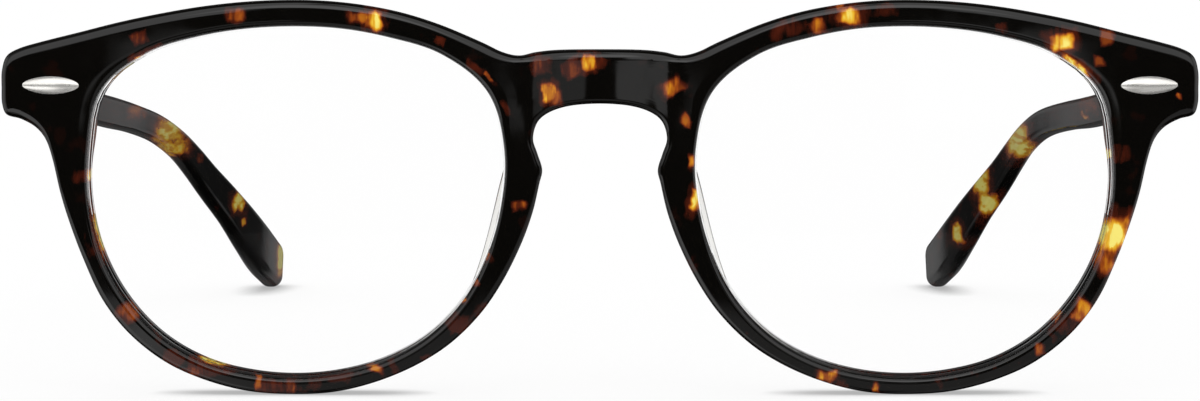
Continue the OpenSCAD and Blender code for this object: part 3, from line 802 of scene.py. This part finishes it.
class StageSettings(bpy.types.PropertyGroup):
    floor: FloatVectorProperty(
        name="Floor", description="Colour of the table",
        subtype="COLOR", default=(1.0, 1.0, 1.0), min=0, max=1)
    lift: FloatProperty(
        name="Shadow lift", description="How far the table's shadows are lifted to white",
        subtype="FACTOR", default=0.86, min=0, max=1)
    contact: FloatProperty(
        name="Contact shadow", description="Reach of the dark shadow where a piece touches",
        default=0.0045, min=0.001, max=0.05, unit="LENGTH", precision=5)
    contact_tone: FloatProperty(
        name="Contact tone", description="Brightness left in that shadow at its darkest",
        subtype="FACTOR", default=0.5, min=0, max=1)
    focal_length: FloatProperty(
        name="Focal length", description="Focal length of the camera, in millimetres",
        default=130.125, min=20, max=300)
    table_edge: FloatProperty(
        name="Table edge", description="How far the table reaches in front of the front",
        default=0.09, min=0.02, max=1, unit="LENGTH")


class SpectaclesSettings(bpy.types.PropertyGroup):
    acetate: PointerProperty(type=AcetateSettings)
    front: PointerProperty(type=FrontSettings)
    lens: PointerProperty(type=LensSettings)
    pad: PointerProperty(type=PadSettings)
    plaque: PointerProperty(type=PlaqueSettings)
    hinge: PointerProperty(type=HingeSettings)
    temple: PointerProperty(type=TempleSettings)
    stage: PointerProperty(type=StageSettings)


def brow_edge(o, edge, top_edge):
    """Radius of the front's outer edge, which is wider along the top and the ends."""
    return lerp(edge, top_edge, max(ease(*BROW_Z, o.y), ease(*BROW_X, o.x)))


def rim_section(station, edge, top_edge, face_steps, edge_steps):
    """Points round the rim from the front edge of the aperture outwards."""
    o, oi, angle = station
    i, io = aperture_point(angle), aperture_out(angle)
    arc = [math.radians(90 * k / edge_steps) for k in range(edge_steps + 1)]
    inset = [(edge * (1 - math.sin(w)), edge * (1 - math.cos(w))) for w in arc]
    brow = brow_edge(o, edge, top_edge)
    reach = brow / edge
    face = [lerp(i + edge * io, o + brow * oi, k / face_steps) for k in range(face_steps + 1)]
    front = [place(p, face_at(p)) for p in face]
    for along, back in inset[1:]:
        p = o + reach * along * oi
        front.append(place(p, face_at(p) + reach * back))
    face = [lerp(i + edge * io, o + edge * oi, k / face_steps) for k in range(face_steps + 1)]
    rear = []
    for along, back in reversed(inset[1:]):
        p = o + along * oi
        rear.append(place(p, back_at(p) - back))
    rear += [place(p, back_at(p)) for p in reversed(face)]
    for along, back in inset[1:]:
        p = i + along * io
        rear.append(place(p, back_at(p) - back))
    rear.append(place(i, GROOVE_AT + GROOVE_HALF))
    rear.append(place(i + GROOVE_D * io, GROOVE_AT))
    rear.append(place(i, GROOVE_AT - GROOVE_HALF))
    for along, back in reversed(inset[1:]):
        p = i + along * io
        rear.append(place(p, face_at(p) + back))
    return front + rear


class SPECTACLES_OT_front(bpy.types.Operator):
    """The tortoiseshell front, with pockets for the hinge leaves and bores for the pins"""
    bl_idname = "spectacles.front"
    bl_label = "Front"

    def execute(self, context):
        sizes = context.scene.spectacles.front
        edge, top_edge = sizes.edge_radius / MM, sizes.top_radius / MM
        across_n, round_n, fine = sizes.face_steps, sizes.edge_steps, sizes.row_steps
        outer_n = (len(OUTLINE) - 1) * fine + 1
        outer = [outline_at(k / fine) for k in range(outer_n)]
        stations = []
        for k, row in enumerate(outer):
            if k in (0, outer_n - 1):
                inward = Vector((0, -1 if k == 0 else 1))
            else:
                d = outer[k + 1] - outer[k - 1]
                inward = Vector((d.y, -d.x)).normalized()
            stations.append((Vector((row.x, row.y)), inward, row.z))
        middle_n = 3 * fine
        low, top = OUTLINE[-1].y, OUTLINE[0].y
        for k in range(1, middle_n):
            t = k / middle_n
            z = lerp(low + edge, top - brow_edge(Vector((0, top)), edge, top_edge), t)
            angle = lerp(OUTLINE[-1].z, OUTLINE[0].z + 360, t)
            stations.append((Vector((0, z)), Vector((0, 0)), angle))
        sections = [rim_section(s, edge, top_edge, across_n, round_n) for s in stations]
        m, n = len(sections[0]), len(sections)
        edge_first, edge_last = across_n, across_n + 2 * round_n + 1
        points = [p for section in sections for p in section]
        half = len(points)
        for p in points:
            if abs(p.x) < NEAR_MIDDLE:
                p.x = 0
        twins = [k if points[k].x == 0 else k + half for k in range(half)]
        faces = []
        for k in range(n):
            k2 = (k + 1) % n
            for c in range(m):
                if (k >= outer_n or k2 >= outer_n) and edge_first <= c < edge_last:
                    continue
                c2 = (c + 1) % m
                face = (k * m + c, k * m + c2, k2 * m + c2, k2 * m + c)
                faces.append(face)
                faces.append(tuple(twins[v] for v in reversed(face)))
        points += [Vector((-p.x, p.y, p.z)) for p in points]
        piece = make_piece("tortoiseshell_front", points, faces)
        tools = []
        for side in SIDES.values():
            tools.append(box("pocket",
                             (FRONT_LEAF_X - POCKET_GAP, BUTT_Y - LEAF_T - POCKET_GAP,
                              HINGE_Z - FRONT_LEAF_H / 2 - POCKET_GAP),
                             (FRONT_LEAF_X + FRONT_LEAF_W + POCKET_GAP, BUTT_Y + CUT_PAST,
                              HINGE_Z + FRONT_LEAF_H / 2 + POCKET_GAP), side))
            for x in (PLAQUE_X - PIN_REACH, PLAQUE_X + PIN_REACH):
                tools.append(rod("bore", Vector((x, depth(x, PLAQUE_Z) - CUT_PAST, PLAQUE_Z)),
                                 Vector((x, BUTT_Y - LEAF_T / 2, PLAQUE_Z)),
                                 PIN_D / 2 + FIT_GAP, side))
        combine(piece, tools, "DIFFERENCE")
        flecks = [(x, y, z, *rest) for y, rows in FRONT_FLECKS.items() for x, z, *rest in rows]
        material = tortoiseshell("tortoiseshell_front", flecks, streaked_and_shaded=False)
        finish_piece(piece, "front_frame", "front", material)
        return {"FINISHED"}


class SPECTACLES_OT_lenses(bpy.types.Operator):
    """The two clear lenses, with their bevels in the grooves of the rims"""
    bl_idname = "spectacles.lenses"
    bl_label = "Lenses"

    def execute(self, context):
        thickness = context.scene.spectacles.lens.thickness / MM
        front = GROOVE_AT - thickness / 2
        back = front + thickness
        steps, rings = LENS_STEPS, LENS_RINGS
        centre = Vector((LENS_X, LENS_Z))
        levels = [(k / rings, -LENS_PLAY, front) for k in range(1, rings + 1)]
        levels += [(1, -LENS_PLAY, GROOVE_AT - BEVEL_HALF), (1, GROOVE_D - LENS_PLAY, GROOVE_AT),
                   (1, -LENS_PLAY, GROOVE_AT + BEVEL_HALF)]
        levels += [(k / rings, -LENS_PLAY, back) for k in range(rings, 0, -1)]
        points = []
        for share, out, behind in levels:
            for k in range(steps):
                angle = 360 * k / steps
                rim = aperture_point(angle) + out * aperture_out(angle)
                points.append(place(lerp(centre, rim, share), behind))
        points += [place(centre, front), place(centre, back)]
        faces = []
        for k in range(steps):
            k2 = (k + 1) % steps
            for r in range(len(levels) - 1):
                faces.append((r * steps + k, r * steps + k2, (r + 1) * steps + k2,
                              (r + 1) * steps + k))
            last = (len(levels) - 1) * steps
            faces.append((len(points) - 2, k2, k))
            faces.append((len(points) - 1, last + k, last + k2))
        material = lens_glass()
        for name, side in SIDES.items():
            piece = make_piece(name + "_lens_glass", points, faces, side)
            finish_piece(piece, name + "_lens", "front", material)
        return {"FINISHED"}


class SPECTACLES_OT_nose_pads(bpy.types.Operator):
    """The clear nose pads behind the nasal rims"""
    bl_idname = "spectacles.nose_pads"
    bl_label = "Nose pads"

    def execute(self, context):
        sizes = context.scene.spectacles.pad
        height, splay = sizes.height / MM, sizes.splay / MM
        profile = [Vector(p) for p in PAD_PROFILE]
        edge = [profile[0]]
        for i in range(1, len(profile)):
            before = profile[i - 1] if i > 1 else profile[1]
            after = profile[(i + 1) % len(profile)]
            beyond = profile[i + 2] if i + 2 < len(profile) else profile[0]
            edge += [curve(before, profile[i], after, beyond, k / PAD_SMOOTH)
                     for k in range(PAD_SMOOTH)]
        along = [k / PAD_OUTLINE_STEPS
                 for k in range((len(OUTLINE) - 1) * PAD_OUTLINE_STEPS + 1)]
        rows = [(outline_at(s).z, s) for s in along]
        rings = []
        for k in range(PAD_STEPS + 1):
            t = k / PAD_STEPS
            angle = lerp(PAD_FROM, PAD_TO, t)
            i, io = aperture_point(angle), aperture_out(angle)
            after = next(r for r in rows if r[0] >= angle)
            before = rows[max(rows.index(after) - 1, 0)]
            share = (angle - before[0]) / max(after[0] - before[0], 0.001)
            row = outline_at(lerp(before[1], after[1], share))
            swell = math.sin(math.pi * lerp(*PAD_ENDS, t ** PAD_CROWD)) ** PAD_TAPER
            lens_side = i + PAD_LENS * io
            nose_side = lerp(i + PAD_NOSE * io, Vector((row.x, row.y)), PAD_NOSE_SHARE)
            rings.append([place(lerp(lens_side, nose_side, p.x) - p.y * splay * swell * io,
                                RIM_T + PAD_GAP + p.z * height * swell) for p in edge])
        material = crystal_acetate()
        for name, side in SIDES.items():
            piece = tube(name + "_crystal_pad", rings, side)
            finish_piece(piece, name + "_nose_pad", "front", material,
                         PAD_CREASE)
        return {"FINISHED"}


class SPECTACLES_OT_plaques(bpy.types.Operator):
    """The silver plaques on the end pieces, each with two pins"""
    bl_idname = "spectacles.plaques"
    bl_label = "Plaques"

    def execute(self, context):
        sizes = context.scene.spectacles.plaque
        half, radius = sizes.length / MM / 2, sizes.radius / MM
        big = (half * half + radius * radius) / (2 * radius)
        turn = math.atan(slope_x(PLAQUE_X))
        tip = -math.atan((PLAQUE_Z - LENS_Z) / BASE_R)
        turned = Matrix.Rotation(turn, 3, "Z") @ Matrix.Rotation(tip, 3, "X")
        along, out, up = turned @ Vector((1, 0, 0)), turned @ Vector((0, -1, 0)), turned.col[2]
        middle = Vector((PLAQUE_X, depth(PLAQUE_X, PLAQUE_Z) + PLAQUE_SINK, PLAQUE_Z))
        sunk = (PLAQUE_SINK + PLAQUE_LIFT) * -out.y
        reach = math.sqrt(big * big - (big - radius + sunk) ** 2)
        rows, columns = PLAQUE_ROWS, PLAQUE_COLUMNS
        rings = []
        for k in range(1, rows):
            t = -reach * math.cos(math.pi * k / rows)
            r = max(radius - big + math.sqrt(big * big - t * t), sunk + PLAQUE_LEAST)
            wide = math.acos(sunk / r)
            rings.append([middle + t * along
                          + r * (math.cos(w) * out + math.sin(w) * up)
                          for w in (lerp(-wide, wide, c / columns) for c in range(columns + 1))])
        m = columns + 1
        points = [p for ring in rings for p in ring]
        faces = ring_faces(len(rings), m)
        last = (len(rings) - 1) * m
        for end, first in ((-reach, 0), (reach, last)):
            points.append(middle + end * along + sunk * out)
            for c in range(m):
                faces.append((len(points) - 1, first + c, first + (c + 1) % m))
        material = satin_silver()
        for name, side in SIDES.items():
            piece = make_piece(name + "_silver_plaque", points, faces, side)
            pins = []
            for x in (PLAQUE_X - PIN_REACH, PLAQUE_X + PIN_REACH):
                start = Vector((x, depth(x, PLAQUE_Z) - PIN_INTO, PLAQUE_Z))
                end = Vector((x, BUTT_Y - PIN_SHORT, PLAQUE_Z))
                pins.append(rod("pin", start, end, PIN_D / 2, side))
            combine(piece, pins, "UNION")
            finish_piece(piece, name + "_front_plaque", "front", material)
        return {"FINISHED"}


def temple_row(i):
    if i < 0:
        return 2 * TEMPLE_ROWS[0] - TEMPLE_ROWS[1]
    if i >= TEMPLE_N:
        return 2 * TEMPLE_ROWS[-1] - TEMPLE_ROWS[-2]
    return TEMPLE_ROWS[i]


def temple_at(s, side):
    i = min(math.floor(s), TEMPLE_N - 2)
    row = curve(*(temple_row(i + k) for k in (-1, 0, 1, 2)), s - i)
    if side > 0:
        y = row[0]
        row[1] += RIGHT_OUT * ease(*RIGHT_OUT_Y, y)
        row[2] += RIGHT_LIFT * (ease(*RIGHT_RISE_Y, y) - ease(*RIGHT_SINK_Y, y))
    return row


def temple_middle(s, side):
    row = temple_at(s, side)
    return Vector((row[1] + row[4] / 2, row[0], row[2]))


def temple_point(s, side, ahead, inward, above):
    """A point at distances ahead, inwards and upwards of the middle of a temple."""
    d = (temple_middle(min(s + AIM_STEP, TEMPLE_N - 1), side)
         - temple_middle(max(s - AIM_STEP, 0), side)).normalized()
    bend = ease(TEMPLE_ROWS[0][0], BUTT_STRAIGHT, temple_at(s, side)[0])
    d = lerp(Vector((0, 1, 0)), d, bend).normalized()
    side_way = Vector((0, 0, 1)).cross(d).normalized()
    return temple_middle(s, side) + ahead * d + inward * side_way + above * d.cross(side_way)


def temple_ring(s, side, ahead, a, b, r, steps):
    ring = []
    for q in range(4):
        cx = (a - r) * (1 if q in (0, 3) else -1)
        cy = (b - r) * (1 if q < 2 else -1)
        for k in range(steps + 1):
            w = math.radians(90 * (q + k / steps))
            ring.append(temple_point(s, side, ahead, cx + r * math.cos(w), cy + r * math.sin(w)))
    return ring


class SPECTACLES_OT_temples(bpy.types.Operator):
    """The tortoiseshell temples, with the channels of their core wires"""
    bl_idname = "spectacles.temples"
    bl_label = "Temples"

    def execute(self, context):
        sizes = context.scene.spectacles.temple
        fine, corner = sizes.row_steps, sizes.corner_steps
        bevel = sizes.butt_edge / MM
        for name, side in SIDES.items():
            rings = []
            for k in range((TEMPLE_N - 1) * fine + 1):
                row = temple_at(k / fine, side)
                a, b = row[4] / 2, row[3] / 2
                r = lerp(CORNER_R, TIP_SHARE * a, ease(*EAR_ROWS, k / fine))
                if k == 0:
                    rings.append(temple_ring(0, side, 0, a - bevel, b - bevel, r - bevel,
                                             corner))
                rings.append(temple_ring(k / fine, side, bevel if k == 0 else 0, a, b, r,
                                         corner))
            row = temple_at(TEMPLE_N - 1, side)
            a, b = row[4] / 2, row[3] / 2
            for k in range(1, TIP_STEPS + 1):
                w = math.radians(90 * k / (TIP_STEPS + TIP_OPEN))
                wide, high = a * math.cos(w) ** TIP_BLUNT, b * math.cos(w)
                r = lerp(TIP_SHARE, TIP_ROUND, math.sin(w)) * min(wide, high)
                ahead = TIP_REACH * b * math.sin(w)
                rings.append(temple_ring(TEMPLE_N - 1, side, ahead, wide, high, r, corner))
            piece = tube(name + "_tortoiseshell_temple", rings, side)
            a, b = WIRE_W / 2 + WIRE_PLAY, WIRE_H / 2 + WIRE_PLAY
            channel = [[temple_point(lerp(WIRE_MOUTH, WIRE_END, k / WIRE_STEPS), side, 0, p, q)
                        for p, q in ((a, b), (-a, b), (-a, -b), (a, -b))]
                       for k in range(WIRE_STEPS + 1)]
            tools = [tube("channel", channel, side)]
            tools.append(box("pocket",
                             (TEMPLE_FACE_X - CUT_PAST, 0, TEMPLE_LEAF_Z - POCKET_GAP),
                             (TEMPLE_FACE_X + LEAF_T + LEAF_LIFT + POCKET_GAP,
                              TEMPLE_LEAF_END + POCKET_GAP,
                              TEMPLE_LEAF_Z + TEMPLE_LEAF_H + POCKET_GAP), side))
            for y, z in RIVET_AT:
                tools.append(rod("bore", Vector((TEMPLE_FACE_X, y, z)),
                                 Vector((TEMPLE_FACE_X + 2 * RIVET_L, y, z)),
                                 RIVET_D / 2 + FIT_GAP, side))
            combine(piece, tools, "DIFFERENCE")
            material = tortoiseshell(name + "_tortoiseshell", TEMPLE_FLECKS[name], streaked_and_shaded=True)
            finish_piece(piece, name + "_temple", name + "_temple", material)
        return {"FINISHED"}


class SPECTACLES_OT_hinges(bpy.types.Operator):
    """Nickel silver on the hinge leaves, screws, rivets and core wires"""
    bl_idname = "spectacles.hinges"
    bl_label = "Hinges and wires"

    def execute(self, context):
        leaf = nickel_silver("hinge_metal", LEAF_GRAIN)
        wire = nickel_silver("wire_metal", WIRE_GRAIN)
        finishes = {"front_hinge_leaf": leaf, "temple_hinge_leaf": leaf, "hinge_screw": leaf,
                    "temple_rivets": leaf, "core_wire": wire}
        for name in SIDES:
            for part, material in finishes.items():
                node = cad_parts[name + "_" + part]
                for slot in node.material_slots:
                    slot.material = material
        return {"FINISHED"}


class SPECTACLES_OT_stage(bpy.types.Operator):
    """The white table, the studio light and the camera"""
    bl_idname = "spectacles.stage"
    bl_label = "Stage"

    def execute(self, context):
        sizes = context.scene.spectacles.stage
        scene = context.scene
        scene.view_settings.view_transform = "Standard"
        near, far, wide = CAD_BOX[0].y - sizes.table_edge, TABLE_REACH, TABLE_REACH
        mesh = bpy.data.meshes.new("table")
        mesh.from_pydata([(-wide, near, 0), (wide, near, 0), (wide, far, 0), (-wide, far, 0)],
                         [], [(0, 1, 2, 3)])
        table = bpy.data.objects.new("table", mesh)
        scene.collection.objects.link(table)
        material, w = new_material("white_table")
        seen = w.node("ShaderNodeLightPath").outputs
        direct = w.math("MAXIMUM", seen["Is Camera Ray"], w.math(
            "MAXIMUM", seen["Is Glossy Ray"], seen["Is Transmission Ray"]))
        paper = w.node("ShaderNodeBsdfDiffuse", {"Color": (*sizes.floor, 1)}).outputs[0]
        near_by = w.node("ShaderNodeAmbientOcclusion", {"Distance": sizes.contact},
                         samples=CONTACT_SAMPLES)
        open_sky = w.fade(near_by.outputs["AO"], *CONTACT_OPEN, sizes.contact_tone, 1.0)
        white = w.node("ShaderNodeEmission", {"Color": (*sizes.floor, 1),
                                              "Strength": open_sky}).outputs[0]
        mixed = w.node("ShaderNodeMixShader",
                       {0: w.math("MULTIPLY", direct, sizes.lift), 1: paper, 2: white})
        w.node("ShaderNodeOutputMaterial", {"Surface": mixed.outputs[0]})
        mesh.materials.append(material)
        table.visible_glossy = False
        scene.world = bpy.data.worlds.new("studio")
        scene.world.use_nodes = True
        light_studio(Wiring(scene.world.node_tree))
        lens = bpy.data.cameras.new("camera")
        lens.sensor_fit = "HORIZONTAL"
        lens.sensor_width = SENSOR_W
        lens.lens = sizes.focal_length
        lens.clip_end = CAMERA_SEES
        camera = bpy.data.objects.new("camera", lens)
        camera.location = CAMERA_AT
        camera.rotation_euler = (math.radians(90 - CAMERA_DOWN), 0, 0)
        scene.collection.objects.link(camera)
        scene.camera = camera
        return {"FINISHED"}


def light_studio(w):
    """A white tent for soft light, and what polished surfaces mirror of the studio."""
    at = w.node("ShaderNodeTexCoord").outputs["Generated"]
    parts = w.node("ShaderNodeSeparateXYZ", {"Vector": at}).outputs
    ahead = w.math("MULTIPLY", parts["Y"], -1.0)
    azimuth = w.math("DEGREES", w.math("ARCTAN2", parts["X"], ahead))
    rise = w.math("DEGREES", w.math("ARCSINE", parts["Z"]))
    angles = {"azimuth": azimuth, "turn": w.math("ABSOLUTE", azimuth),
              "rise": rise, "height": w.math("ABSOLUTE", rise)}
    shown = STUDIO_DARK
    for steps in LIGHTS.values():
        light = 1.0
        for angle, low, high, at_low, at_high in steps:
            light = w.math("MULTIPLY", w.fade(angles[angle], low, high, at_low, at_high), light)
        shown = w.math("MAXIMUM", light, shown)
    seen = w.node("ShaderNodeLightPath").outputs
    mirrored = w.math("SUBTRACT", seen["Glossy Depth"], seen["Is Diffuse Ray"], clamp=True)
    level = w.node("ShaderNodeMix", {"Factor": mirrored, "A": 1.0, "B": shown})
    level = level.outputs["Result"]
    light = w.node("ShaderNodeBackground", {"Color": (1, 1, 1, 1), "Strength": level})
    w.node("ShaderNodeOutputWorld", {"Surface": light.outputs["Background"]})


class SPECTACLES_PT_parts(bpy.types.Panel):
    """Makes the parts of the spectacles and sets their sizes and colours"""
    bl_idname = "SPECTACLES_PT_parts"
    bl_label = "Spectacles"
    bl_space_type = "VIEW_3D"
    bl_region_type = "UI"
    bl_category = "Spectacles"

    def draw(self, context):
        settings = context.scene.spectacles
        for operator, *names in PARTS:
            column = self.layout.box()
            column.operator(operator.bl_idname)
            for group in (getattr(settings, name) for name in names):
                for prop in group.bl_rna.properties:
                    if not prop.is_readonly and prop.identifier != "name":
                        column.prop(group, prop.identifier)


# Each operator, with the settings that it uses
PARTS = [(SPECTACLES_OT_stage, "stage"), (SPECTACLES_OT_front, "acetate", "front"),
         (SPECTACLES_OT_lenses, "lens"), (SPECTACLES_OT_nose_pads, "pad"),
         (SPECTACLES_OT_plaques, "plaque"), (SPECTACLES_OT_temples, "temple"),
         (SPECTACLES_OT_hinges, "hinge")]
CLASSES = [AcetateSettings, FrontSettings, LensSettings, PadSettings, PlaqueSettings,
           HingeSettings, TempleSettings, StageSettings, SpectaclesSettings,
           *(row[0] for row in PARTS), SPECTACLES_PT_parts]


def register():
    for made in CLASSES:
        bpy.utils.register_class(made)
    bpy.types.Scene.spectacles = PointerProperty(type=SpectaclesSettings)


def unregister():
    del bpy.types.Scene.spectacles
    for made in reversed(CLASSES):
        bpy.utils.unregister_class(made)


def main():
    register()
    bpy.ops.spectacles.stage()
    bpy.ops.spectacles.front()
    bpy.ops.spectacles.lenses()
    bpy.ops.spectacles.nose_pads()
    bpy.ops.spectacles.plaques()
    bpy.ops.spectacles.temples()
    bpy.ops.spectacles.hinges()


if __name__ == "__main__":
    main()
